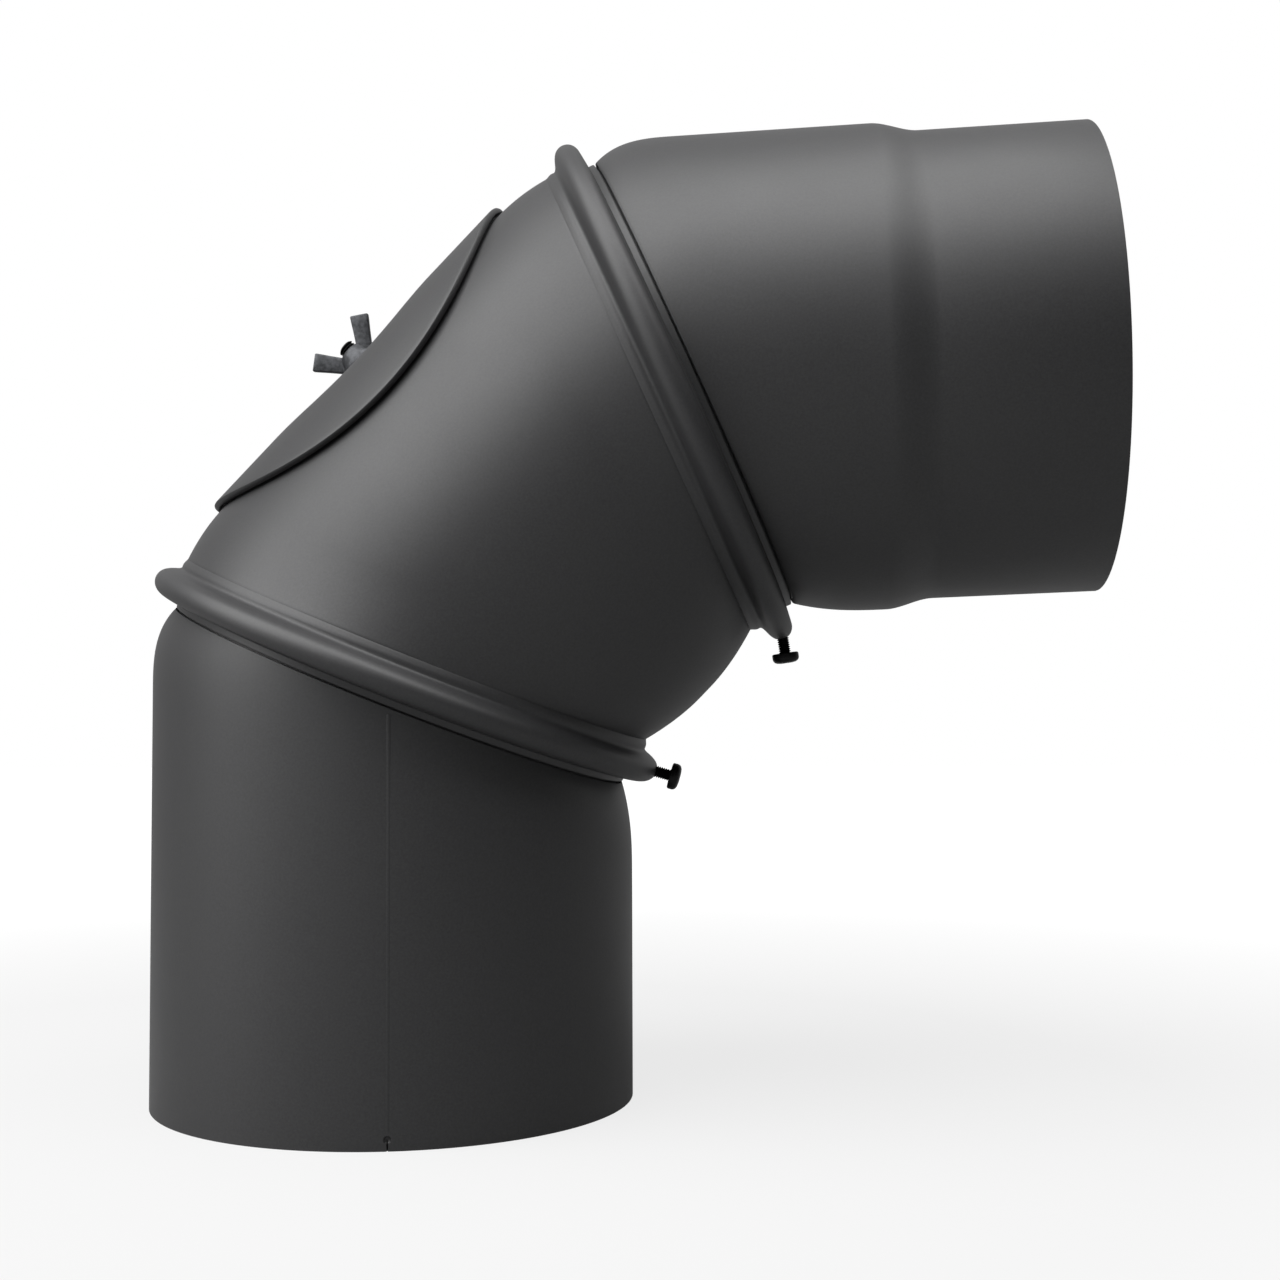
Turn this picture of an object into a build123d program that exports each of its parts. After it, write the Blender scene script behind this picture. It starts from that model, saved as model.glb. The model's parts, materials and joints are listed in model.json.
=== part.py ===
from build123d import *
from math import cos, pi, radians, sin, sqrt, tan
import os

# Adjustable stove pipe elbow for a 150 mm flue, in millimetres and degrees.
# Three sheet-steel shells meet at two swivels. Each swivel is a bead rolled inside a bead,
# on a plane that leans from a square cut, so turning a shell changes the bend of the elbow.
# The elbow stands on the rim of its inlet: +Z runs up the inlet's axis from the centre of
# that rim, and the whole elbow bends in the XZ plane, towards +X.

# Sheet and tube
pipe_bore = 150.0            # inside diameter of the tubes
wall = 2.0                   # thickness of the sheet
tube_radius = pipe_bore / 2 + wall

# Socket at the inlet: the last stretch of the bore is sized a little wider
socket_depth = 60.0
socket_widening = 0.3        # on the radius
socket_taper = 3.0           # length over which it goes back to the tube's bore

# Lengths along the bent centre line
inlet_height = 124.2         # from the inlet rim to where its axis meets the lower swivel's axis
bend_setback = 6.0           # from that meeting point to the swivel's gap
collar_length = 15.8         # from the gap to the body's own tube
body_length = 108.5          # body tube, along its axis
outlet_length = 120.3        # from where the upper swivel's axis meets the outlet's to its end
joint_tilt = 22.0            # lean of each swivel plane: four of them make the full bend

# Swivels: the end shells carry the inner bead, the body carries the collar with the outer bead
joint_gap = 0.6              # open line between a shell's shoulder and the collar's lip
swivel_play = 0.3            # room between the inner and the outer bead
lip_rise = 0.2               # of the collar's lip over the tube, level with the shoulder beside it
lip_length = 2.2
bead_height = 9.3            # of the collar's bead at its crown, over the lip
bead_middle = 6.9            # crown of the bead, from the gap
bead_flank_rise = 0.7        # how far the lip-side flank leans over its height
bead_flank_height = 5.6
crown_back_drop = 2.8        # from the crown down to where the bead's back flank starts
crown_back_length = 3.4
groove_start = 11.6          # foot of the bead's back flank, from the gap
groove_width = 0.6
ridge_height = 1.1           # low ridge between the bead and the body
ridge_width = 2.2
inner_bead_width = 3.4       # folded bead of an end shell
inner_bead_tip = 1.7         # height of its rounded tip
sleeve_length = 14.0         # end of an end shell's sleeve inside the collar, from the gap

# Shoulders, where a tube's slanted section is drawn in to the round of the swivel
shoulder_depth = 20.0        # start of an end shell's shoulder, from the bend point
shoulder_roundness = 2.8
body_shoulder_depth = 19.0
body_shoulder_roundness = 1.9
shoulder_steps = (0.0, 0.25, 0.5, 0.7, 0.87, 1.0)

# Spigot of the outlet, swaged down so that it enters the next pipe's socket
spigot_diameter = 148.0
spigot_length = 52.0
swage_length = 15.0          # starts clear of the outlet's shoulder

# Cleaning opening in the outer side of the body, and its cover
opening_diameter = 100.0
cover_diameter = 136.0       # of the flat blank, before it is rolled to the body
cover_thickness = 2.0
gasket_thickness = 0.8
gasket_inset = 1.5           # from the edge of the cover
gasket_overhang = 2.0        # from the edge of the opening
cover_hole = 7.0             # for the bolt
recess_depth = 2.8           # pressed seat of the wing nut
recess_floor = 18.0          # radius of its floor, before rolling
recess_radius = 44.0         # where the pressing fades out
surface_margin = 4.0         # trimmed off all round the pressed sheet
length_steps = 30            # spacings of the sections that shape it
width_steps = 24             # spacings of the points of a section
outline_steps = 32           # spacings of the points round a rolled circle

# Clamp of the cover: a flat bar inside, a coach bolt through it, a washer and a wing nut
seat_gap = 0.05              # between pieces that rest on a curved face
bar_width = 22.0
bar_thickness = 4.0
bar_overlap = 12.0           # past the edge of the opening at each end
bar_corner = 5.0
bolt_diameter = 5.9          # M6, thread left plain
thread_play = 0.05           # radial room between a thread and its hole
bolt_head_radius = 7.5
bolt_head_height = 3.3
bolt_square = 6.0
bolt_square_play = 0.1
bolt_projection = 2.9        # past the top of the wing nut
bolt_point = 0.6
washer_radius = 6.0
washer_thickness = 1.6
washer_hole = 6.6
hub_base_radius = 6.6
hub_top_radius = 4.2
hub_height = 7.1
hub_foot = 2.0               # straight foot of the hub
hub_chamfer = 0.4
wing_span = 25.8
wing_height = 14.8
wing_tip_radius = 3.2
wing_root_radius = 2.4
wing_root_offset = 4.2       # middle of a wing's root, from the bolt
wing_root_height = 4.4
wing_thickness = 2.6
wing_edge_rounding = 0.8

# Lock screws through the crown of each collar's bead, at the inside of the bend
screw_diameter = 3.9         # M4, thread left plain
screw_head_radius = 4.25
screw_head_height = 3.2
screw_head_rounding = 1.3
screw_reach = 4.6            # from the crown to the underside of the head
screw_tip_play = 0.35        # from the inner bead to the tip, backed off
screw_recess_width = 0.9
screw_recess_span = 4.6
screw_recess_depth = 1.8
lower_screw_lean = 6.0       # lean towards the body
upper_screw_lean = 16.0
screw_offset = 0.6           # where the screws cross the crown, from its middle
screw_point = 0.5

rim_chamfer = 0.4

os.makedirs("parts", exist_ok=True)


def along(turn):
    """Direction that has turned this far from straight up towards +X."""
    return Vector(sin(radians(turn)), 0, cos(radians(turn)))


def inside(turn):
    """Direction square to along(turn), towards the inside of the bend."""
    return Vector(cos(radians(turn)), 0, -sin(radians(turn)))


# Skeleton: bend points and roots of the two swivels, in order up the elbow
lower_turn = joint_tilt
body_turn = 2 * joint_tilt
upper_turn = 3 * joint_tilt
outlet_turn = 4 * joint_tilt
swivel_length = bend_setback + collar_length
lower_bend = Vector(0, 0, inlet_height)
lower_gap = lower_bend + along(lower_turn) * bend_setback
lower_root = lower_bend + along(lower_turn) * swivel_length
upper_root = lower_root + along(body_turn) * body_length
upper_gap = upper_root + along(upper_turn) * collar_length
upper_bend = upper_root + along(upper_turn) * swivel_length

# Radii that follow from the sheet and the play
lip_radius = tube_radius + lip_rise
bead_radius = lip_radius + bead_height
neck_radius = lip_radius - wall - swivel_play        # end shell under the collar's lip
collar_neck_radius = tube_radius + swivel_play + wall
inner_bead_radius = bead_radius - wall - 1.3 * swivel_play
inner_bead_start = lip_length + wall + bead_flank_rise + swivel_play

# Levels above the body's axis that follow from the stack of the cover's clamp
cover_inner = tube_radius + gasket_thickness + 2 * seat_gap
cover_outer = cover_inner + cover_thickness
bar_outer = sqrt((tube_radius - wall) ** 2 - (bar_width / 2) ** 2) - seat_gap
bar_inner = bar_outer - bar_thickness
recess_level = cover_outer - recess_depth
washer_top = recess_level + washer_thickness


def mouth_frame(point, turn, facing):
    """Plane square to a swivel's axis. z leaves the tube, x points to the inside of the bend."""
    return Plane(origin=point, x_dir=inside(turn), z_dir=along(turn) * facing)


def section_frame(gap_point, turn, facing):
    """Plane through a swivel's axis: x is the radius, y the distance from the gap to the body."""
    return Plane(origin=gap_point, x_dir=inside(turn), z_dir=Vector(0, -facing, 0))


def shoulder(frame, depth, reach, radius, mouth_radius, roundness, mode=Mode.ADD):
    """Draw a tube's slanted section in to a circle round the swivel's axis."""
    lean = tan(radians(joint_tilt))
    slant_radius = radius / cos(radians(joint_tilt))
    outer_inset = reach * lean + slant_radius - mouth_radius
    inner_inset = slant_radius - reach * lean - mouth_radius
    sections = []
    for share in shoulder_steps:
        height = share * (depth + reach) - depth
        drawn = share ** roundness
        outer_end = -height * lean - slant_radius + drawn * outer_inset
        inner_end = -height * lean + slant_radius - drawn * inner_inset
        with BuildSketch(frame.offset(height)) as section:
            with Locations(((outer_end + inner_end) / 2, 0)):
                Ellipse((inner_end - outer_end) / 2, radius + drawn * (mouth_radius - radius))
        sections.append(section.sketch)
    loft(sections, mode=mode)


def end_shoulder(point, turn, facing):
    """Hollow shoulder of an end shell, from its tube to the swivel's gap."""
    frame = mouth_frame(point, turn, facing)
    reach = bend_setback - joint_gap / 2
    shoulder(frame, shoulder_depth, reach, tube_radius, lip_radius, shoulder_roundness)
    shoulder(frame, shoulder_depth, reach, tube_radius - wall, neck_radius - wall,
             shoulder_roundness, Mode.SUBTRACT)


def end_sleeve(gap_point, turn, facing):
    """Neck, folded bead and sleeve of an end shell, which run inside the collar."""
    bead_root = inner_bead_radius - inner_bead_tip
    bead_end = inner_bead_start + inner_bead_width
    with BuildSketch(section_frame(gap_point, turn, facing)) as profile:
        with BuildLine():
            Polyline((neck_radius - wall, -joint_gap / 2), (neck_radius, -joint_gap / 2),
                     (neck_radius, inner_bead_start), (bead_root, inner_bead_start))
            ThreePointArc((bead_root, inner_bead_start),
                          (inner_bead_radius, inner_bead_start + inner_bead_width / 2),
                          (bead_root, bead_end))
            Polyline((bead_root, bead_end), (tube_radius, bead_end), (tube_radius, sleeve_length),
                     (tube_radius - wall, sleeve_length), (tube_radius - wall, bead_end + wall / 2),
                     (neck_radius - wall, bead_end - wall), (neck_radius - wall, -joint_gap / 2))
        make_face()
    revolve(profile.sketch, axis=Axis(gap_point, along(turn)))


def collar(gap_point, turn, facing):
    """Collar of the body: lip, bead and ridge, formed from one thickness of sheet."""
    flank_end = (lip_radius + bead_flank_height, lip_length + bead_flank_rise)
    back_start = (bead_radius - crown_back_drop, bead_middle + crown_back_length)
    ridge_start = groove_start + groove_width
    ridge_crown = (collar_neck_radius + ridge_height, ridge_start + ridge_width / 2)
    ridge_end = (collar_neck_radius, ridge_start + ridge_width)
    room_flank_end = (flank_end[0] - wall / 2, flank_end[1] + wall)
    room_back_start = (back_start[0] - wall, back_start[1] - 0.7 * wall)
    with BuildSketch(section_frame(gap_point, turn, facing)) as profile:
        with BuildLine():
            Polyline((lip_radius - wall, joint_gap / 2), (lip_radius, joint_gap / 2),
                     (lip_radius, lip_length), flank_end)
            ThreePointArc(flank_end, (bead_radius, bead_middle), back_start)
            Polyline(back_start, (collar_neck_radius, groove_start),
                     (collar_neck_radius, ridge_start))
            ThreePointArc((collar_neck_radius, ridge_start), ridge_crown, ridge_end)
            Polyline(ridge_end, (collar_neck_radius, collar_length),
                     (collar_neck_radius - wall, collar_length),
                     (collar_neck_radius - wall, groove_start - wall / 2), room_back_start)
            ThreePointArc(room_back_start, (bead_radius - wall, bead_middle), room_flank_end)
            Polyline(room_flank_end, (lip_radius - wall, lip_length + wall),
                     (lip_radius - wall, joint_gap / 2))
        make_face()
    revolve(profile.sketch, axis=Axis(gap_point, along(turn)))


def screw_frame(gap_point, turn, facing, lean):
    """Frame on a lock screw's axis. The origin is at the bead's crown, and z leaves the bead."""
    crown = gap_point + inside(turn) * bead_radius
    crown += along(turn) * facing * (bead_middle + screw_offset)
    outwards = inside(turn) * cos(radians(lean)) + along(turn) * facing * sin(radians(lean))
    return Plane(origin=crown, x_dir=(0, 1, 0), z_dir=outwards)


# The swivels as seen from the body: gap point, turn of the axis, and way from gap to body
lower_swivel = (lower_gap, lower_turn, 1)
upper_swivel = (upper_gap, upper_turn, -1)
lower_screw_frame = screw_frame(*lower_swivel, lower_screw_lean)
upper_screw_frame = screw_frame(*upper_swivel, upper_screw_lean)

# The door's frame lies on the body's axis: x along the tube, z out through the opening
body_middle = lower_root + along(body_turn) * (body_length / 2)
door_frame = Plane(origin=body_middle, x_dir=along(body_turn), z_dir=inside(body_turn) * -1)
body_section = Plane(origin=body_middle, x_dir=inside(body_turn), z_dir=along(body_turn))


def door_sector(radius, mode):
    """Wedge whose outline is a circle of this radius, rolled round the body."""
    sections = []
    for height in (tube_radius / 2, tube_radius * 1.2):
        with BuildSketch(door_frame.offset(height)) as section:
            with BuildLine():
                Spline([(radius * cos(turn), height * tan(radius * sin(turn) / tube_radius))
                        for turn in outline_turns], periodic=True)
            make_face()
        sections.append(section.sketch)
    loft(sections, ruled=True, mode=mode)


def rolled_sheet(inner_radius, thickness):
    """Round of sheet along the body's axis, to be trimmed by a door sector."""
    with BuildSketch(body_section) as ring:
        Circle(inner_radius + thickness)
        Circle(inner_radius, mode=Mode.SUBTRACT)
    extrude(ring.sketch, amount=body_length, both=True)


def pressed_line(length, radius):
    """Points across the pressed sheet at this radius, this far along the body."""
    points = []
    for step in range(width_steps + 1):
        width = blank_reach * (2 * step / width_steps - 1)
        reach = sqrt(length ** 2 + width ** 2)
        fade = min(max((reach - recess_floor) / (recess_radius - recess_floor), 0), 1)
        level = radius - recess_depth * (1 - fade ** 3 * (10 - 15 * fade + 6 * fade ** 2))
        points.append((level * sin(width / tube_radius), level * cos(width / tube_radius)))
    return points


def pressed_section(length):
    """Cross-section of the pressed sheet, this far along the body from the bolt."""
    outer_line = pressed_line(length, cover_outer)
    inner_line = pressed_line(length, cover_inner)
    origin = body_middle + along(body_turn) * length
    with BuildSketch(Plane(origin=origin, x_dir=(0, 1, 0), z_dir=along(body_turn))) as section:
        with BuildLine():
            Spline(outer_line)
            Line(outer_line[-1], inner_line[-1])
            Spline(inner_line[::-1])
            Line(inner_line[0], outer_line[0])
        make_face()
    return section.sketch


outline_turns = [2 * pi * step / outline_steps for step in range(outline_steps)]
blank_reach = cover_diameter / 2 + surface_margin


# Inlet shell: plain tube with its socket rim down
with BuildPart() as inlet_pipe:
    with BuildSketch():
        Circle(tube_radius)
        Circle(tube_radius - wall, mode=Mode.SUBTRACT)
    extrude(amount=inlet_height + tube_radius)
    split(bisect_by=mouth_frame(lower_bend, lower_turn, 1).offset(-shoulder_depth),
          keep=Keep.BOTTOM)
    with BuildSketch(Plane.XZ):
        Polygon((0, 0), (tube_radius - wall + socket_widening, 0),
                (tube_radius - wall + socket_widening, socket_depth),
                (tube_radius - wall, socket_depth + socket_taper),
                (0, socket_depth + socket_taper), align=None)
    revolve(axis=Axis.Z, mode=Mode.SUBTRACT)
    chamfer(inlet_pipe.edges().group_by(Axis.Z)[0], rim_chamfer)
    end_shoulder(lower_bend, lower_turn, 1)
    end_sleeve(*lower_swivel)
inlet_pipe.part.label = "inlet_pipe"
export_step(inlet_pipe.part, "parts/inlet_pipe.step")


# Outlet shell: tube, then a soft swage down to the spigot that enters the next pipe
outlet_axis = Axis(upper_bend, along(outlet_turn))
outlet_section = Plane(origin=upper_bend, x_dir=inside(outlet_turn), z_dir=(0, -1, 0))
spigot_radius = spigot_diameter / 2
swage_end = outlet_length - spigot_length
swage_start = swage_end - swage_length
swage_middle = (swage_start + swage_end) / 2


def swage(depth):
    """Two arcs that draw the tube down to the spigot, this deep in the sheet."""
    middle = ((tube_radius + spigot_radius) / 2 - depth, swage_middle)
    TangentArc((tube_radius - depth, swage_start), middle, tangent=(0, 1))
    TangentArc((spigot_radius - depth, swage_end), middle, tangent=(0, -1))


with BuildPart() as outlet_pipe:
    with BuildSketch(outlet_section):
        with BuildLine():
            Line((tube_radius, -tube_radius), (tube_radius, swage_start))
            swage(0)
            Polyline((spigot_radius, swage_end), (spigot_radius, outlet_length),
                     (spigot_radius - wall, outlet_length), (spigot_radius - wall, swage_end))
            swage(wall)
            Polyline((tube_radius - wall, swage_start), (tube_radius - wall, -tube_radius),
                     (tube_radius, -tube_radius))
        make_face()
    revolve(axis=outlet_axis)
    split(bisect_by=mouth_frame(upper_bend, upper_turn, -1).offset(-shoulder_depth),
          keep=Keep.BOTTOM)
    chamfer(outlet_pipe.edges().group_by(outlet_axis)[-1], rim_chamfer)
    end_shoulder(upper_bend, upper_turn, -1)
    end_sleeve(*upper_swivel)
outlet_pipe.part.label = "outlet_pipe"
export_step(outlet_pipe.part, "parts/outlet_pipe.step")


# Body: tube between two collars, with the cleaning opening and two tapped holes
with BuildPart() as access_body:
    rolled_sheet(tube_radius - wall, wall)
    for root, turn, facing in ((lower_root, lower_turn, -1), (upper_root, upper_turn, 1)):
        split(bisect_by=mouth_frame(root, turn, facing).offset(-body_shoulder_depth),
              keep=Keep.BOTTOM)
    for root, turn, facing in ((lower_root, lower_turn, -1), (upper_root, upper_turn, 1)):
        root_frame = mouth_frame(root, turn, facing)
        shoulder(root_frame, body_shoulder_depth, 0, tube_radius, collar_neck_radius,
                 body_shoulder_roundness)
        shoulder(root_frame, body_shoulder_depth, 0, tube_radius - wall,
                 collar_neck_radius - wall, body_shoulder_roundness, Mode.SUBTRACT)
    collar(*lower_swivel)
    collar(*upper_swivel)
    door_sector(opening_diameter / 2, Mode.SUBTRACT)
    for frame in (lower_screw_frame, upper_screw_frame):
        with BuildSketch(frame.offset(-wall - 2 * swivel_play)):
            Circle(screw_diameter / 2 + thread_play)
        extrude(amount=wall + screw_reach, mode=Mode.SUBTRACT)
access_body.part.label = "access_body"
export_step(access_body.part, "parts/access_body.step")


# Gasket: ring between the body and the cover
with BuildPart() as cover_gasket:
    rolled_sheet(tube_radius + seat_gap, gasket_thickness)
    door_sector(cover_diameter / 2 - gasket_inset, Mode.INTERSECT)
    door_sector(opening_diameter / 2 + gasket_overhang, Mode.SUBTRACT)
cover_gasket.part.label = "cover_gasket"
export_step(cover_gasket.part, "parts/cover_gasket.step")


# Cover: round blank rolled to the body, with a pressed recess for the wing nut
with BuildPart() as access_cover:
    loft([pressed_section(blank_reach * (2 * step / length_steps - 1))
          for step in range(length_steps + 1)])
    door_sector(cover_diameter / 2, Mode.INTERSECT)
    with BuildSketch(door_frame.offset(recess_level)):
        Circle(cover_hole / 2)
    extrude(amount=cover_thickness * 2, both=True, mode=Mode.SUBTRACT)
access_cover.part.label = "access_cover"
export_step(access_cover.part, "parts/access_cover.step")


# Crossbar: flat bar along the tube, which bears on the wall beyond both ends of the opening
with BuildPart() as crossbar:
    with BuildSketch(door_frame.offset(bar_inner)):
        RectangleRounded(opening_diameter + 2 * bar_overlap, bar_width, bar_corner)
        Rectangle(bolt_square + 2 * bolt_square_play, bolt_square + 2 * bolt_square_play,
                  mode=Mode.SUBTRACT)
    extrude(amount=bar_thickness)
crossbar.part.label = "crossbar"
export_step(crossbar.part, "parts/crossbar.step")


# Coach bolt: domed head under the crossbar, square neck, shank out through the cover
door_section = Plane(origin=body_middle, x_dir=along(body_turn), z_dir=(0, -1, 0))
door_axis = Axis(body_middle, door_frame.z_dir)
nut_top = washer_top + hub_height
bolt_end = nut_top + bolt_projection
bolt_radius = bolt_diameter / 2
with BuildPart() as cover_bolt:
    with BuildSketch(door_section):
        with BuildLine():
            Polyline((0, bar_inner - bolt_head_height), (0, bolt_end),
                     (bolt_radius - bolt_point, bolt_end), (bolt_radius, bolt_end - bolt_point),
                     (bolt_radius, bar_inner), (bolt_head_radius, bar_inner))
            TangentArc((0, bar_inner - bolt_head_height), (bolt_head_radius, bar_inner),
                       tangent=(1, 0))
        make_face()
    revolve(axis=door_axis)
    with BuildSketch(door_frame.offset(bar_inner)):
        RectangleRounded(bolt_square, bolt_square, bolt_point)
    extrude(amount=bar_thickness)
cover_bolt.part.label = "cover_bolt"
export_step(cover_bolt.part, "parts/cover_bolt.step")


# Washer: flat above, hollowed below to the curve of the cover's recess
with BuildPart() as washer:
    with BuildSketch(door_frame.offset(washer_top)):
        Circle(washer_radius)
        Circle(washer_hole / 2, mode=Mode.SUBTRACT)
    extrude(amount=-2 * washer_thickness)
    with BuildSketch(body_section):
        Circle(recess_level + seat_gap)
    extrude(amount=washer_radius * 2, both=True, mode=Mode.SUBTRACT)
washer.part.label = "washer"
export_step(washer.part, "parts/washer.step")


# Wing nut: two wings with thick rounded tips on a conical hub
with BuildPart() as wing_nut:
    for side in (-1, 1):
        with BuildSketch(door_section):
            with Locations((side * (wing_span / 2 - wing_tip_radius),
                            washer_top + wing_height - wing_tip_radius)):
                Circle(wing_tip_radius)
            with Locations((side * wing_root_offset, washer_top + wing_root_height)):
                Circle(wing_root_radius)
            make_hull()
        extrude(amount=wing_thickness / 2, both=True)
    fillet(wing_nut.edges(), wing_edge_rounding)
    with BuildSketch(door_section):
        with BuildLine():
            Polyline((0, washer_top), (hub_base_radius - hub_chamfer, washer_top),
                     (hub_base_radius, washer_top + hub_chamfer),
                     (hub_base_radius, washer_top + hub_foot),
                     (hub_top_radius, nut_top - hub_chamfer),
                     (hub_top_radius - hub_chamfer, nut_top), (0, nut_top), (0, washer_top))
        make_face()
    revolve(axis=door_axis)
    with BuildSketch(door_frame.offset(washer_top)):
        Circle(bolt_radius + thread_play)
    extrude(amount=wing_height, mode=Mode.SUBTRACT)
wing_nut.part.label = "wing_nut"
export_step(wing_nut.part, "parts/wing_nut.step")


def lock_screw(frame):
    """Pan-head screw with a crossed recess. Its tip stops just short of the inner bead."""
    screw_axis = Axis(frame.origin, frame.z_dir)
    tip = inner_bead_radius + screw_tip_play - bead_radius
    with BuildSketch(frame.offset(screw_reach)) as head:
        Circle(screw_head_radius)
    extrude(head.sketch, amount=screw_head_height)
    fillet(edges().group_by(screw_axis)[-1], screw_head_rounding)
    with BuildSketch(frame.offset(screw_reach + screw_head_height)) as recess:
        Rectangle(screw_recess_span, screw_recess_width)
        Rectangle(screw_recess_width, screw_recess_span)
    extrude(recess.sketch, amount=-screw_recess_depth, mode=Mode.SUBTRACT)
    with BuildSketch(frame.offset(tip)) as shank:
        Circle(screw_diameter / 2)
    extrude(shank.sketch, amount=screw_reach - tip)
    chamfer(edges().group_by(screw_axis)[0], screw_point)


with BuildPart() as lower_lock_screw:
    lock_screw(lower_screw_frame)
lower_lock_screw.part.label = "lower_lock_screw"
export_step(lower_lock_screw.part, "parts/lower_lock_screw.step")

with BuildPart() as upper_lock_screw:
    lock_screw(upper_screw_frame)
upper_lock_screw.part.label = "upper_lock_screw"
export_step(upper_lock_screw.part, "parts/upper_lock_screw.step")
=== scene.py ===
import json
from math import cos, pi, radians, sin, tan

import bpy
from mathutils import Matrix, Vector


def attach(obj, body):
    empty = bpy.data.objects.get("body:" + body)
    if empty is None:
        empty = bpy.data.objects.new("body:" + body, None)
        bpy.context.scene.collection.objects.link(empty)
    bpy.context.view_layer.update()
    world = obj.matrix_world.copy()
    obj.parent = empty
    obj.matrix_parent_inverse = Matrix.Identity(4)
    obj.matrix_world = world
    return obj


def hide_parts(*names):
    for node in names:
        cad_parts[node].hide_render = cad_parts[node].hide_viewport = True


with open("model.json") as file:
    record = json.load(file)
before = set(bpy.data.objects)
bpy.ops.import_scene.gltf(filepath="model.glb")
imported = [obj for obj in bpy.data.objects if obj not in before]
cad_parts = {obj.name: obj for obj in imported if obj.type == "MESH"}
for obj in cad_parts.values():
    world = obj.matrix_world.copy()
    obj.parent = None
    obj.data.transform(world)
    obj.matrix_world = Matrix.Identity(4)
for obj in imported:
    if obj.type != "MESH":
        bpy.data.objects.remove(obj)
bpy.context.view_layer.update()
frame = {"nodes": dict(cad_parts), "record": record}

nodes = frame["nodes"]
bodies = frame["record"]["behaviour"]["bodies"]

# Sizes of the elbow, in metres
MM = 0.001
TUBE = 77 * MM                  # outer radius of the tubes
WALL = 2 * MM
TILT = radians(22)              # lean of each swivel plane: four of them make the full bend
INLET = 124.2 * MM              # from the inlet rim to the lower bend point
SETBACK = 6.0 * MM              # from a bend point to its swivel's gap
COLLAR = 15.8 * MM              # from a gap to the body's own tube
BODY = 108.5 * MM
OUTLET = 120.3 * MM             # from the upper bend point to the outlet's end
GAP = 0.3 * MM                  # half of the open line at a swivel
LIP = 77.2 * MM                 # radius of a collar's lip, and of the shoulder beside it
NECK = 79.3 * MM                # radius of a collar's foot
CROWN = 86.5 * MM               # radius of a collar's bead
PIPE_SHOULDER = 20 * MM
PIPE_ROUNDNESS = 2.8
BODY_SHOULDER = 19 * MM
BODY_ROUNDNESS = 1.9
SPIGOT = 74 * MM
SPIGOT_LENGTH = 52 * MM
SWAGE = 15 * MM                 # length over which the outlet is drawn in to its spigot
SOCKET = 75.3 * MM
SOCKET_DEPTH = 60 * MM
SOCKET_TAPER = 3 * MM
SEAM_TURN = radians(-79)        # where the weld seam stands on the inlet pipe
WASHER_TOP = 78.7 * MM          # from the body's axis, where the wing nut sits
PIPE_BREAK = 0.4 * MM           # softening of the pipes' cut edges
BODY_BREAK = 0.15 * MM
SLIT_DEPTH, SLIT_WIDTH, SLIT_TOP = 0.9 * MM, 0.25 * MM, 3 * MM
CRATER_HEIGHT = 3.2 * MM        # of the weld's end, over the inlet rim
FLOOR_DROP = 0.1 * MM           # keeps the floor clear of the rim

# Sizes of the small pieces, in millimetres
RECESS_FLOOR, RECESS_FADE, RECESS_DEPTH = 18, 26, 2.8
BOLT_THREAD = (2.94, 1.0)       # radius and pitch
SCREW_THREAD = (1.94, 0.7)
BOLT_STUMP = 5                  # of the solid bolt that stays, over the washer
WING_ROOT = (4.2, 0, 4.4)
WING_LEAN = radians(36)
SCREW_OFFSET = 7.5              # from a gap to where its lock screw crosses the bead
SCREW_RECESS = (4.6, 0.9, 3)


def along(turns):
    """Direction that has turned so many swivel leans from straight up towards +X."""
    return Vector((sin(turns * TILT), 0, cos(turns * TILT)))


def inside(turns):
    """Direction square to along, towards the inside of the bend."""
    return Vector((cos(turns * TILT), 0, -sin(turns * TILT)))


def place(origin, x_dir, z_dir):
    """Matrix of a frame from its origin and two of its directions."""
    turn = Matrix((x_dir, z_dir.cross(x_dir), z_dir)).transposed()
    return Matrix.Translation(origin) @ turn.to_4x4()


lower_bend = Vector((0, 0, INLET))
lower_gap = lower_bend + along(1) * SETBACK
body_middle = lower_bend + along(1) * (SETBACK + COLLAR) + along(2) * BODY / 2
upper_bend = body_middle + along(2) * BODY / 2 + along(3) * (SETBACK + COLLAR)
upper_gap = upper_bend - along(3) * SETBACK
lower_swivel = place(lower_gap, inside(1), along(1))
upper_swivel = place(upper_gap, inside(3), -along(3))
door = place(body_middle, Vector((0, 1, 0)), along(2))
clamp = place(body_middle, along(2), -inside(2))


# Modelling

def only(piece):
    """Make one piece the only selected one."""
    bpy.ops.object.select_all(action="DESELECT")
    piece.select_set(True)
    bpy.context.view_layer.objects.active = piece


def settle(piece, matrix):
    """Put a piece at its place and keep the place in its mesh."""
    only(piece)
    piece.matrix_world = matrix
    bpy.ops.object.transform_apply(location=True, rotation=True, scale=True)


def draw_on(stations, at):
    """Extrude the selected ring from station to station, from the one it is at."""
    for station in stations:
        height, wide, deep, shift = station
        bpy.ops.mesh.extrude_region_move(
            TRANSFORM_OT_translate={"value": (shift - at[3], 0, height - at[0])})
        bpy.ops.transform.resize(value=(wide / at[1], deep / at[2], 1),
                                 center_override=(shift, 0, height))
        at = station


def close_up(closed):
    """Merge or fill a skin's open ends and face it outwards."""
    bpy.ops.mesh.select_all(action="SELECT")
    bpy.ops.mesh.remove_doubles(threshold=0.00001)
    if not closed:
        bpy.ops.mesh.fill_holes(sides=0)
    bpy.ops.mesh.select_all(action="SELECT")
    bpy.ops.mesh.normals_make_consistent(inside=False)


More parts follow.
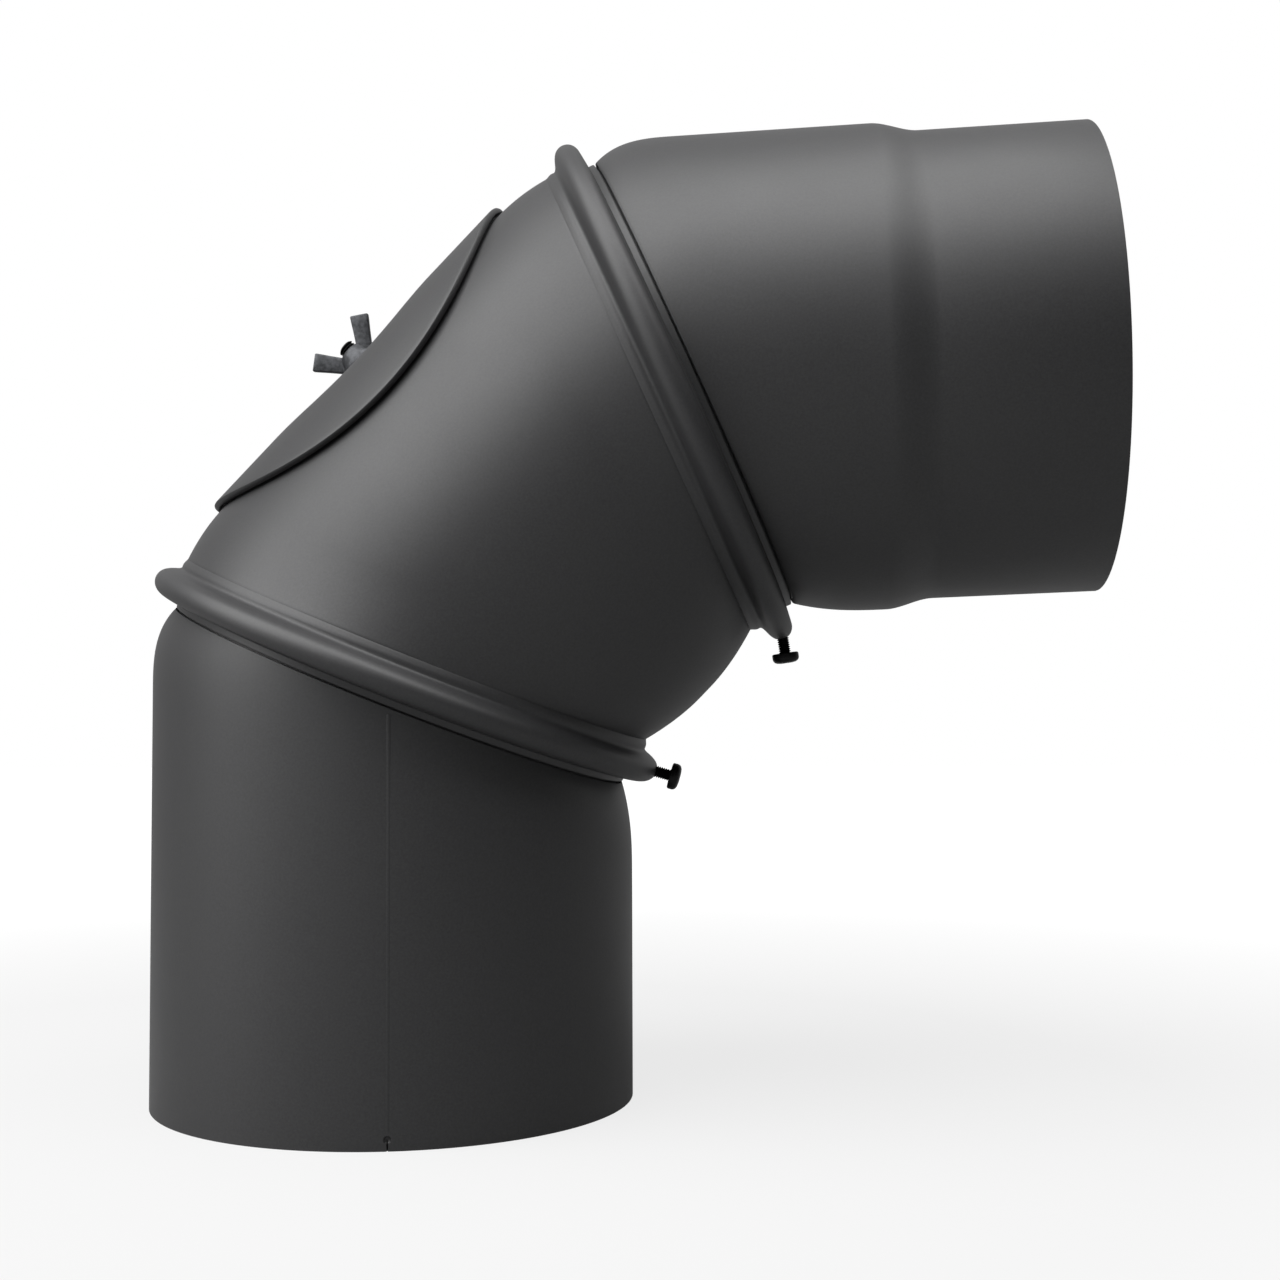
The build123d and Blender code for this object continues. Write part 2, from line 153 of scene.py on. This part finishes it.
def rings(name, stations, sides=144, closed=False, open_ends=False):
    """Skin over rings, each given as height, half width, half depth and sideways shift."""
    bpy.ops.object.select_all(action="DESELECT")
    height, wide, deep, shift = stations[0]
    bpy.ops.mesh.primitive_circle_add(vertices=sides, radius=wide)
    piece = bpy.context.object
    piece.name = name
    bpy.ops.object.mode_set(mode="EDIT")
    bpy.ops.mesh.select_all(action="SELECT")
    bpy.ops.transform.resize(value=(1, deep / wide, 1))
    bpy.ops.transform.translate(value=(shift, 0, height))
    draw_on(stations[1:], stations[0])
    if not open_ends:
        close_up(closed)
    bpy.ops.object.mode_set(mode="OBJECT")
    return piece


def turned(profile):
    """Round stations from a profile of radius and height pairs, in millimetres."""
    return [(height * MM, radius * MM, radius * MM, 0) for radius, height in profile]


def arc(centre, radius, start, end, steps=10):
    """Profile points on an arc, its angles in degrees from the outward radius."""
    angles = [radians(start + (end - start) * step / steps) for step in range(steps + 1)]
    return [(centre[0] + radius * cos(a), centre[1] + radius * sin(a)) for a in angles]


def modify(piece, kind, **settings):
    """Add a modifier with its settings and apply it."""
    only(piece)
    modifier = piece.modifiers.new(kind.title(), kind)
    for name, value in settings.items():
        setattr(modifier, name, value)
    bpy.ops.object.modifier_apply(modifier=modifier.name)


def cut(piece, cutter):
    """Take a cutter's shape out of a piece."""
    modify(piece, "BOOLEAN", operation="DIFFERENCE", object=cutter, solver="EXACT")
    bpy.data.objects.remove(cutter)


def soften(piece, width, angle=40, segments=2):
    """Break the sharp edges of a piece and shade the rest smooth."""
    if width:
        modify(piece, "BEVEL", width=width, segments=segments, limit_method="ANGLE",
               angle_limit=radians(angle), harden_normals=False)
    only(piece)
    bpy.ops.object.shade_smooth_by_angle(angle=radians(angle))


def join(first, *others):
    """Join pieces into the first one."""
    only(first)
    for other in others:
        other.select_set(True)
    bpy.ops.object.join()
    return first


def hand_over(piece, finish, node):
    """Give a finished piece its material and let it stand for a solid."""
    piece.data.materials.clear()
    piece.data.materials.append(finish)
    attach(piece, [body for body, members in bodies.items() if node in members][0])
    if node + "_look" == piece.name:
        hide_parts(node)


def shoulder(depth, reach, radius, mouth, roundness, steps=22):
    """Rings of a tube's slanted end drawn in to the round of a swivel, from the mouth back."""
    lean = tan(TILT)
    slant = radius / cos(TILT)
    outer_inset = reach * lean + slant - mouth
    inner_inset = slant - reach * lean - mouth
    found = []
    for step in range(steps + 1):
        share = 1 - step / steps
        height = share * (depth + reach) - depth
        drawn = share ** roundness
        outer_end = -height * lean - slant + drawn * outer_inset
        inner_end = -height * lean + slant - drawn * inner_inset
        found.append((height, (inner_end - outer_end) / 2, radius + drawn * (mouth - radius),
                      (inner_end + outer_end) / 2))
    return found


def shell(name, shoulder_rings, level, tube_rings=()):
    """Shoulder, then a straight tube to a square cut at a level, in the tube's frame."""
    piece = rings(name, shoulder_rings, open_ends=True)
    settle(piece, Matrix.Rotation(TILT, 4, "Y"))
    bpy.ops.object.mode_set(mode="EDIT")
    bpy.ops.mesh.extrude_region_move(TRANSFORM_OT_translate={"value": (0, 0, -TUBE / 2)})
    bpy.ops.transform.resize(value=(1, 1, 0), center_override=(0, 0, level))
    draw_on(tube_rings, (level, TUBE, TUBE, 0))
    bpy.ops.object.mode_set(mode="OBJECT")
    return piece


def face_out(piece):
    """Face an open skin outwards before it gets its thickness."""
    only(piece)
    bpy.ops.object.mode_set(mode="EDIT")
    bpy.ops.mesh.select_all(action="SELECT")
    bpy.ops.mesh.normals_make_consistent(inside=False)
    bpy.ops.object.mode_set(mode="OBJECT")


# Materials

def colour(code):
    """Linear colour from an sRGB hex value."""
    parts = [int(code[start:start + 2], 16) / 255 for start in (1, 3, 5)]
    return tuple(part / 12.92 if part <= 0.04045 else ((part + 0.055) / 1.055) ** 2.4
                 for part in parts) + (1,)


def add(tree, kind, inputs, **settings):
    """Add a node with its settings, and fill or link its inputs."""
    made = tree.nodes.new(kind)
    for name, value in settings.items():
        setattr(made, name, value)
    for name, value in inputs.items():
        if isinstance(value, bpy.types.NodeSocket):
            tree.links.new(value, made.inputs[name])
        else:
            made.inputs[name].default_value = value
    return made


def material(name):
    """New material with an empty tree and its object coordinates."""
    made = bpy.data.materials.new(name)
    made.use_nodes = True
    made.node_tree.nodes.clear()
    place_of = add(made.node_tree, "ShaderNodeTexCoord", {}).outputs["Object"]
    return made, made.node_tree, place_of


def output(tree, shader):
    """Send a shader to the surface."""
    add(tree, "ShaderNodeOutputMaterial", {"Surface": shader.outputs[0]})


def coated_steel(name, dark, light, roughness, grit):
    """Stove pipe paint: sprayed and baked silicone coat, satin, with a fine dry grain."""
    made, tree, place_of = material(name)
    grain = add(tree, "ShaderNodeTexNoise",
                {"Vector": place_of, "Scale": 1 / grit, "Detail": 3.0, "Roughness": 0.7})
    cloud = add(tree, "ShaderNodeTexNoise",
                {"Vector": place_of, "Scale": 1 / 0.05, "Detail": 3.0, "Roughness": 0.55})
    tone = add(tree, "ShaderNodeValToRGB", {"Fac": grain.outputs["Fac"]})
    tone.color_ramp.elements[0].position = 0.3
    tone.color_ramp.elements[0].color = colour(dark)
    tone.color_ramp.elements[1].position = 0.7
    tone.color_ramp.elements[1].color = colour(light)
    gloss = add(tree, "ShaderNodeMapRange",
                {"Value": cloud.outputs["Fac"], "From Min": 0.3, "From Max": 0.7,
                 "To Min": roughness - 0.03, "To Max": roughness + 0.03})
    relief = add(tree, "ShaderNodeBump",
                 {"Height": grain.outputs["Fac"], "Strength": 0.25, "Distance": 0.00005})
    output(tree, add(tree, "ShaderNodeBsdfPrincipled",
                     {"Base Color": tone.outputs["Color"], "Roughness": gloss.outputs["Result"],
                      "Normal": relief.outputs["Normal"], "Metallic": 0.0, "IOR": 1.5}))
    return made


def blackened_steel(name, dark, light):
    """Black-oxidised steel: nearly black, with a soft metal gleam and worn, lighter spots."""
    made, tree, place_of = material(name)
    wear = add(tree, "ShaderNodeTexNoise",
               {"Vector": place_of, "Scale": 1 / 0.0015, "Detail": 4.0, "Roughness": 0.6})
    tone = add(tree, "ShaderNodeValToRGB", {"Fac": wear.outputs["Fac"]})
    tone.color_ramp.elements[0].position = 0.35
    tone.color_ramp.elements[0].color = colour(dark)
    tone.color_ramp.elements[1].position = 0.75
    tone.color_ramp.elements[1].color = colour(light)
    gloss = add(tree, "ShaderNodeMapRange",
                {"Value": wear.outputs["Fac"], "To Min": 0.38, "To Max": 0.55})
    relief = add(tree, "ShaderNodeBump",
                 {"Height": wear.outputs["Fac"], "Strength": 0.3, "Distance": 0.00005})
    output(tree, add(tree, "ShaderNodeBsdfPrincipled",
                     {"Base Color": tone.outputs["Color"], "Roughness": gloss.outputs["Result"],
                      "Normal": relief.outputs["Normal"], "Metallic": 0.7}))
    return made


def mill_steel(name):
    """Bare rolled steel bar: grey metal with fine lengthwise rolling streaks."""
    made, tree, place_of = material(name)
    lie = add(tree, "ShaderNodeMapping", {"Vector": place_of})
    lie.inputs["Rotation"].default_value = (0, -2 * TILT, 0)
    lie.inputs["Scale"].default_value = (1 / 0.0006, 1 / 0.0006, 1 / 0.02)
    streak = add(tree, "ShaderNodeTexNoise",
                 {"Vector": lie.outputs["Vector"], "Scale": 1.0, "Detail": 4.0})
    tone = add(tree, "ShaderNodeValToRGB", {"Fac": streak.outputs["Fac"]})
    tone.color_ramp.elements[0].color = colour("#5c5c5e")
    tone.color_ramp.elements[1].color = colour("#9a9a9c")
    gloss = add(tree, "ShaderNodeMapRange",
                {"Value": streak.outputs["Fac"], "To Min": 0.3, "To Max": 0.5})
    output(tree, add(tree, "ShaderNodeBsdfPrincipled",
                     {"Base Color": tone.outputs["Color"], "Roughness": gloss.outputs["Result"],
                      "Metallic": 1.0}))
    return made


def fibre_felt(name):
    """Glass-fibre gasket tape, dyed black: matt, with a short tangled nap."""
    made, tree, place_of = material(name)
    nap = add(tree, "ShaderNodeTexNoise",
              {"Vector": place_of, "Scale": 1 / 0.0008, "Detail": 6.0, "Distortion": 1.5})
    tone = add(tree, "ShaderNodeValToRGB", {"Fac": nap.outputs["Fac"]})
    tone.color_ramp.elements[0].color = colour("#0b0b0b")
    tone.color_ramp.elements[1].color = colour("#242424")
    relief = add(tree, "ShaderNodeBump",
                 {"Height": nap.outputs["Fac"], "Strength": 0.8, "Distance": 0.0002})
    output(tree, add(tree, "ShaderNodeBsdfPrincipled",
                     {"Base Color": tone.outputs["Color"], "Roughness": 0.95,
                      "Normal": relief.outputs["Normal"]}))
    return made


paint = coated_steel("baked_silicone_paint", "#202021", "#2b2b2c", 0.51, 0.0007)
cover_paint = coated_steel("baked_silicone_paint_cover", "#1f1f20", "#2a2a2b", 0.51, 0.0007)
black_steel = blackened_steel("black_oxide_screws", "#0c0c0c", "#1c1c1d")
worn_black_steel = blackened_steel("black_oxide_wing_nut", "#2c2d2f", "#4c4d50")
bar_steel = mill_steel("hot_rolled_bar")
felt = fibre_felt("glass_fibre_gasket")


# Shells of the two end pipes
swage_top = -(OUTLET - SPIGOT_LENGTH - SWAGE)
swage = []
for step in range(1, 17):
    share = step / 16
    drawn = TUBE - share * share * (3 - 2 * share) * (TUBE - SPIGOT)
    swage.append((swage_top - share * SWAGE, drawn, drawn, 0))
mouth_rings = shoulder(PIPE_SHOULDER, SETBACK - GAP, TUBE, LIP, PIPE_ROUNDNESS)
inlet_look = shell("inlet_pipe_look", mouth_rings, -INLET)
outlet_look = shell("outlet_pipe_look", mouth_rings, swage_top,
                    swage + [(-OUTLET, SPIGOT, SPIGOT, 0)])
face_out(inlet_look)
modify(inlet_look, "SOLIDIFY", thickness=WALL, offset=-1, use_even_offset=True)
face_out(outlet_look)
modify(outlet_look, "SOLIDIFY", thickness=WALL, offset=-1, use_even_offset=True)
settle(inlet_look, place(lower_bend, inside(0), along(0)))
settle(outlet_look, place(upper_bend, inside(4), -along(4)))

# Socket sized a little wider, and the weld seam up the front with its small crater at the rim
cut(inlet_look, rings("socket", [(-MM, SOCKET, SOCKET, 0), (SOCKET_DEPTH, SOCKET, SOCKET, 0),
                                 (SOCKET_DEPTH + SOCKET_TAPER, TUBE - WALL, TUBE - WALL, 0)]))
slit = rings("slit", [(level, SLIT_DEPTH, SLIT_WIDTH, TUBE) for level in (-MM, SLIT_TOP)],
             sides=12)
settle(slit, Matrix.Rotation(SEAM_TURN, 4, "Z"))
cut(inlet_look, slit)
crater = rings("crater", turned([(0.5, -0.7), (0.9, -0.5), (1.15, 0), (1.2, 2)]), sides=32)
settle(crater, Matrix.Rotation(SEAM_TURN, 4, "Z")
       @ Matrix.Translation((TUBE, 0, CRATER_HEIGHT)) @ Matrix.Rotation(pi / 2, 4, "Y"))
cut(inlet_look, crater)
seam = rings("seam", [(height * MM, 0.4 * MM, 0.9 * MM, radius * MM) for height, radius in (
    (5.0, 76.5), (5.6, 76.65), (96, 76.65), (105, 76.67), (111, 76.73), (117, 76.86),
    (122.8, 77.03), (123.2, 76.6))], sides=24)
settle(seam, Matrix.Rotation(SEAM_TURN, 4, "Z"))
join(inlet_look, seam)

# Neck of a pipe, as radius and height over the gap: its wall, its folded bead, then its sleeve
bead = arc((82.4, 6.9), 1.7, -90, 90)
sleeve = ([(72.9, -3.5), (75.6, -3.5), (75.8, -0.4), (74.9, -0.4), (74.9, 5.2)] + bead
          + [(77, 8.6), (77, 14), (75, 14), (75, 9.6), (72.9, 6.6), (72.9, -3.5)])
for look, swivel in ((inlet_look, lower_swivel), (outlet_look, upper_swivel)):
    neck = rings("neck", turned(sleeve), closed=True)
    settle(neck, swivel)
    join(look, neck)
    soften(look, PIPE_BREAK)

# Body: half a tube with one shoulder, mirrored, then its opening and collars
body_look = shell("access_body_look",
                  shoulder(BODY_SHOULDER, 0, TUBE, NECK, BODY_ROUNDNESS), -BODY / 2)
settle(body_look, Matrix.Translation((0, 0, BODY / 2)))
modify(body_look, "MIRROR", use_axis=(False, False, True), merge_threshold=0.00001)
face_out(body_look)
modify(body_look, "SOLIDIFY", thickness=WALL, offset=-1, use_even_offset=True)
settle(body_look, place(body_middle, inside(2), -along(2)))


def rolled(name, profile):
    """Turned blank rolled round the body. Its profile is radius and height above the tube."""
    piece = rings(name, turned(profile), sides=160, closed=profile[0] == profile[-1])
    settle(piece, Matrix.Rotation(-pi / 2, 4, "X"))
    bpy.context.view_layer.update()
    modify(piece, "SIMPLE_DEFORM", deform_method="BEND", deform_axis="Z",
           angle=-piece.dimensions.x / TUBE)
    settle(piece, door @ Matrix.Translation((0, TUBE, 0)))
    return piece


# Cutter of the opening: its end faces have rings all over, so that they bend round the body
hole = [(2 + 4 * step, -12) for step in range(13)] + [(50, 8)]
hole += [(46 - 4 * step, 8) for step in range(12)]
cut(body_look, rolled("opening", hole))

# Collar, as radius and height over the gap: lip, hollow bead, low ridge and foot, then back inside
collar = ([(75.2, 0.3), (77.0, 0.3), (77.2, 0.5), (77.2, 2.2), (82.8, 2.9)]
          + arc((82.5, 6.85), 4.0, -80, 58, 16)[1:] + [(83.7, 10.75), (82.7, 11.15), (81.7, 11.5)]
          + [(80.9, 11.85), (80.3, 12.25), (80.05, 12.7), (80.1, 13.3), (80.05, 13.9)]
          + [(79.85, 14.5), (79.55, 15.1), (79.3, 15.8), (77.3, 15.8)]
          + [(77.3, 10.6), (81.7, 9.1)] + arc((82.3, 7.0), 2.2, 72, -80, 10)
          + [(75.2, 4.2), (75.2, 0.3)])
collars = []
for swivel in (lower_swivel, upper_swivel):
    ring = rings("collar", turned(collar), sides=192, closed=True)
    settle(ring, swivel)
    collars.append(ring)
join(body_look, *collars)
soften(body_look, BODY_BREAK, 35)


# Cover with its pressed recess, and the gasket under it
def pressed(radius):
    """Drop of the cover's recess at this radius of the blank, in millimetres."""
    fade = min(max((radius - RECESS_FLOOR) / RECESS_FADE, 0), 1)
    return RECESS_DEPTH * (1 - fade ** 3 * (10 - 15 * fade + 6 * fade ** 2))


spread = [3.5, 6, 9, 12, 15, 18] + [RECESS_FLOOR + 2 * step for step in range(1, 14)]
spread += [50, 56, 62, 66, 67.4]
cover_profile = [(radius, 2.9 - pressed(radius)) for radius in spread]
cover_profile += [(67.8, 2.8), (68, 2.5), (68, 1.2), (67.8, 0.95)]
cover_profile += [(radius, 0.9 - pressed(radius)) for radius in reversed(spread)]
cover_profile.append(cover_profile[0])
cover_look = rolled("access_cover_look", cover_profile)
soften(cover_look, 0, 40)
gasket_look = rolled("cover_gasket_look", [(52, 0.05), (59, 0.05), (66.2, 0.05), (66.5, 0.2),
                                           (66.5, 0.7), (66.2, 0.85), (59, 0.85), (52, 0.85),
                                           (52, 0.05)])
soften(gasket_look, 0, 40)


def thread(name, radius, pitch, low, high):
    """Screw thread along Z, with a rounded run-out. Its steps are shares of the pitch."""
    bpy.ops.object.select_all(action="DESELECT")
    bpy.ops.mesh.primitive_plane_add(size=MM, location=((radius - 0.6 * pitch) * MM, 0, low * MM))
    piece = bpy.context.object
    piece.name = name
    bpy.ops.object.transform_apply(location=True, rotation=True, scale=True)
    bpy.ops.object.mode_set(mode="EDIT")
    bpy.ops.mesh.select_all(action="SELECT")
    bpy.ops.mesh.merge(type="CENTER")
    turns = round((high - low) / pitch - 1.1)
    steps = [(0.54, 0.42), (0.06, 0.06), (-0.06, 0.06), (-0.54, 0.46)] * turns
    for outwards, upwards in steps + [(-0.5, 0.1)]:
        bpy.ops.mesh.extrude_region_move(
            TRANSFORM_OT_translate={"value": (outwards * pitch * MM, 0, upwards * pitch * MM)})
    bpy.ops.object.mode_set(mode="OBJECT")
    modify(piece, "SCREW", angle=2 * pi, screw_offset=pitch * MM, steps=48, render_steps=48,
           use_merge_vertices=True, use_smooth_shade=True)
    only(piece)
    bpy.ops.object.mode_set(mode="EDIT")
    close_up(False)
    bpy.ops.object.mode_set(mode="OBJECT")
    return piece


# Wing nut: conical hub with two flat wings, each given as height, half width and half thickness
hub = rings("wing_nut_look", turned([(3.0, 0), (6.1, 0), (6.5, 0.25), (6.6, 0.7), (6.6, 2.0),
                                     (6.1, 3.2), (5.2, 4.9), (4.5, 6.4), (4.2, 6.9), (3.8, 7.1),
                                     (3.2, 7.1), (3.0, 6.9), (3.0, 0)]), sides=64, closed=True)
wing_outline = [(-2.0, 2.3, 1.5), (0, 2.5, 1.4), (3, 2.6, 1.3), (6, 2.75, 1.2), (9, 2.95, 1.15),
                (11.3, 3.05, 1.1)]


def blade(name, stations):
    """Flat blade over rectangular stations, its edges rounded."""
    bpy.ops.object.select_all(action="DESELECT")
    height, wide, deep, shift = stations[0]
    bpy.ops.mesh.primitive_plane_add(size=2 * wide)
    piece = bpy.context.object
    piece.name = name
    bpy.ops.object.mode_set(mode="EDIT")
    bpy.ops.mesh.select_all(action="SELECT")
    bpy.ops.transform.resize(value=(1, deep / wide, 1))
    bpy.ops.transform.translate(value=(shift, 0, height))
    draw_on(stations[1:], stations[0])
    close_up(False)
    bpy.ops.object.mode_set(mode="OBJECT")
    soften(piece, 0.5 * MM, 50, 3)
    return piece


wings = []
for side in (0, pi):
    wing = blade("wing", [(h * MM, w * MM, d * MM, 0) for h, w, d in wing_outline])
    root = Matrix.Translation(Vector(WING_ROOT) * MM) @ Matrix.Rotation(WING_LEAN, 4, "Y")
    settle(wing, clamp @ Matrix.Translation((0, 0, WASHER_TOP))
           @ Matrix.Rotation(side, 4, "Z") @ root)
    wings.append(wing)
settle(hub, clamp @ Matrix.Translation((0, 0, WASHER_TOP)))
nut_look = join(hub, *wings)
soften(nut_look, 0, 50)


def smooth_copy(node):
    """Unmarked copy of a solid, its triangles merged and its round faces shaded smooth."""
    only(nodes[node])
    bpy.ops.object.duplicate()
    piece = bpy.context.object
    piece.name = node + "_look"
    for key in list(piece.keys()):
        del piece[key]
    bpy.ops.object.mode_set(mode="EDIT")
    bpy.ops.mesh.select_all(action="SELECT")
    bpy.ops.mesh.remove_doubles(threshold=0.000001)
    bpy.ops.object.mode_set(mode="OBJECT")
    bpy.ops.object.shade_smooth_by_angle(angle=radians(32))
    return piece


# The bolt's thread stands out of the wing nut
bolt_thread = thread("cover_bolt_thread", *BOLT_THREAD, 2.8, 9.9)
settle(bolt_thread, clamp @ Matrix.Translation((0, 0, WASHER_TOP)))
soften(bolt_thread, 0, 50)

# Lock screws: threaded shank and a rounded pan head with a crossed recess
screws = {}
for name, swivel, lean in (("lower_lock_screw", lower_swivel, 6),
                           ("upper_lock_screw", upper_swivel, 16)):
    axis = (swivel @ Matrix.Translation((CROWN, 0, SCREW_OFFSET * MM))
            @ Matrix.Rotation(radians(90 - lean), 4, "Y"))
    head = rings(name + "_look", turned([(1.6, 4.6), (3.9, 4.6), (4.2, 4.8), (4.25, 5.1),
                                         (4.25, 6.2), (4.1, 6.8), (3.7, 7.3), (3.0, 7.65),
                                         (2.0, 7.8), (0.5, 7.8)]), sides=64)
    for turn in (0, pi / 2):
        bpy.ops.object.select_all(action="DESELECT")
        bpy.ops.mesh.primitive_cube_add(size=1)
        bar = bpy.context.object
        bar.matrix_world = (Matrix.Rotation(turn, 4, "Z") @ Matrix.Translation((0, 0, 7.5 * MM))
                            @ Matrix.Diagonal([size * MM for size in SCREW_RECESS] + [1]))
        bpy.ops.object.transform_apply(location=True, rotation=True, scale=True)
        cut(head, bar)
    shank = thread("shank", *SCREW_THREAD, -1.9, 5.2)
    join(head, shank)
    settle(head, axis)
    soften(head, 0, 40)
    screws[name] = head

hand_over(inlet_look, paint, "inlet_pipe")
hand_over(outlet_look, paint, "outlet_pipe")
hand_over(body_look, paint, "access_body")
hand_over(cover_look, cover_paint, "access_cover")
hand_over(gasket_look, felt, "cover_gasket")
hand_over(nut_look, worn_black_steel, "wing_nut")
hand_over(bolt_thread, black_steel, "cover_bolt")
bolt_look = smooth_copy("cover_bolt")
bpy.ops.object.mode_set(mode="EDIT")
bpy.ops.mesh.select_all(action="SELECT")
bpy.ops.mesh.bisect(plane_co=clamp @ Vector((0, 0, WASHER_TOP + BOLT_STUMP * MM)),
                    plane_no=-inside(2), use_fill=True, clear_outer=True)
bpy.ops.object.mode_set(mode="OBJECT")
hand_over(bolt_look, black_steel, "cover_bolt")
hand_over(smooth_copy("washer"), worn_black_steel, "washer")
hand_over(smooth_copy("crossbar"), bar_steel, "crossbar")
for name, screw in screws.items():
    hand_over(screw, black_steel, name)


def shown(tree, mirrored):
    """Share of the white background that a ray sees: all of it straight on, less in a gloss."""
    rays = add(tree, "ShaderNodeLightPath", {})
    straight = add(tree, "ShaderNodeMath",
                   {0: rays.outputs["Is Camera Ray"], 1: rays.outputs["Is Transmission Ray"]},
                   operation="MAXIMUM")
    gloss = add(tree, "ShaderNodeMath", {0: rays.outputs["Is Glossy Ray"], 1: mirrored},
                operation="MULTIPLY")
    return add(tree, "ShaderNodeMath", {0: straight.outputs[0], 1: gloss.outputs[0]},
               operation="MAXIMUM").outputs[0]


# Floor, light and camera
bpy.ops.object.select_all(action="DESELECT")
bpy.ops.mesh.primitive_plane_add(size=8, location=(0, 0, -FLOOR_DROP))
floor = bpy.context.object
floor.name = "floor"
bpy.ops.object.transform_apply(location=True)
floor_finish, floor_tree, floor_place = material("white_floor")
paper = add(floor_tree, "ShaderNodeBsdfDiffuse", {"Color": colour("#8c8c8c")})
glow = add(floor_tree, "ShaderNodeEmission", {"Color": (1, 1, 1, 1), "Strength": 1.1})
reach = add(floor_tree, "ShaderNodeVectorMath", {0: floor_place}, operation="LENGTH")
far = add(floor_tree, "ShaderNodeMapRange",
          {"Value": reach.outputs["Value"], "From Min": 0.25, "From Max": 0.8,
           "To Min": 0.72, "To Max": 1.0})
share = add(floor_tree, "ShaderNodeMath", {0: shown(floor_tree, 0.2), 1: far.outputs["Result"]},
            operation="MULTIPLY")
output(floor_tree, add(floor_tree, "ShaderNodeMixShader",
                       {0: share.outputs[0], 1: paper.outputs[0], 2: glow.outputs[0]}))
floor.data.materials.append(floor_finish)

world = bpy.data.worlds.new("studio")
bpy.context.scene.world = world
world.use_nodes = True
sky = world.node_tree
sky.nodes.clear()
way = add(sky, "ShaderNodeTexCoord", {}).outputs["Generated"]
split_way = add(sky, "ShaderNodeSeparateXYZ", {"Vector": way})
behind = add(sky, "ShaderNodeMapRange", {"Value": split_way.outputs["Y"], "From Min": -0.1,
                                         "From Max": 0.75, "To Min": 0.015, "To Max": 0.5})
lit = add(sky, "ShaderNodeBackground",
          {"Color": (1, 1, 1, 1), "Strength": behind.outputs["Result"]})
white = add(sky, "ShaderNodeBackground", {"Color": (1, 1, 1, 1), "Strength": 1.0})
both = add(sky, "ShaderNodeMixShader",
           {0: shown(sky, 0.05), 1: lit.outputs[0], 2: white.outputs[0]})
add(sky, "ShaderNodeOutputWorld", {"Surface": both.outputs[0]})


def softbox(name, position, target, size, power):
    """Square area light aimed at a point."""
    data = bpy.data.lights.new(name, "AREA")
    data.shape = "RECTANGLE"
    data.size, data.size_y = size
    data.energy = power
    lamp = bpy.data.objects.new(name, data)
    bpy.context.scene.collection.objects.link(lamp)
    lamp.location = position
    lamp.rotation_euler = (Vector(target) - Vector(position)).to_track_quat("-Z", "Y").to_euler()


softbox("key", (-0.55, -0.5, 0.97), (0.1, 0, 0.15), (1.2, 1.2), 25)
softbox("overhead", (0.3, -0.25, 1.1), (0.15, 0, 0.2), (0.8, 0.8), 10)
softbox("left", (-1.2, -0.55, 0.3), (0.0, 0, 0.1), (0.8, 0.8), 4.6)

camera_data = bpy.data.cameras.new("camera")
camera_data.sensor_width = 36
camera_data.lens = 1764 / 1280 * 36
camera_data.clip_start = 0.01
camera = bpy.data.objects.new("camera", camera_data)
bpy.context.scene.collection.objects.link(camera)
camera.matrix_world = (Matrix.Translation((0.1278, -0.5694, 0.1208))
                       @ Matrix.Rotation(radians(4.79), 4, "Z")
                       @ Matrix.Rotation(radians(92.61), 4, "X")
                       @ Matrix.Rotation(radians(-0.19), 4, "Z"))
bpy.context.scene.camera = camera
bpy.context.scene.view_settings.view_transform = "Standard"
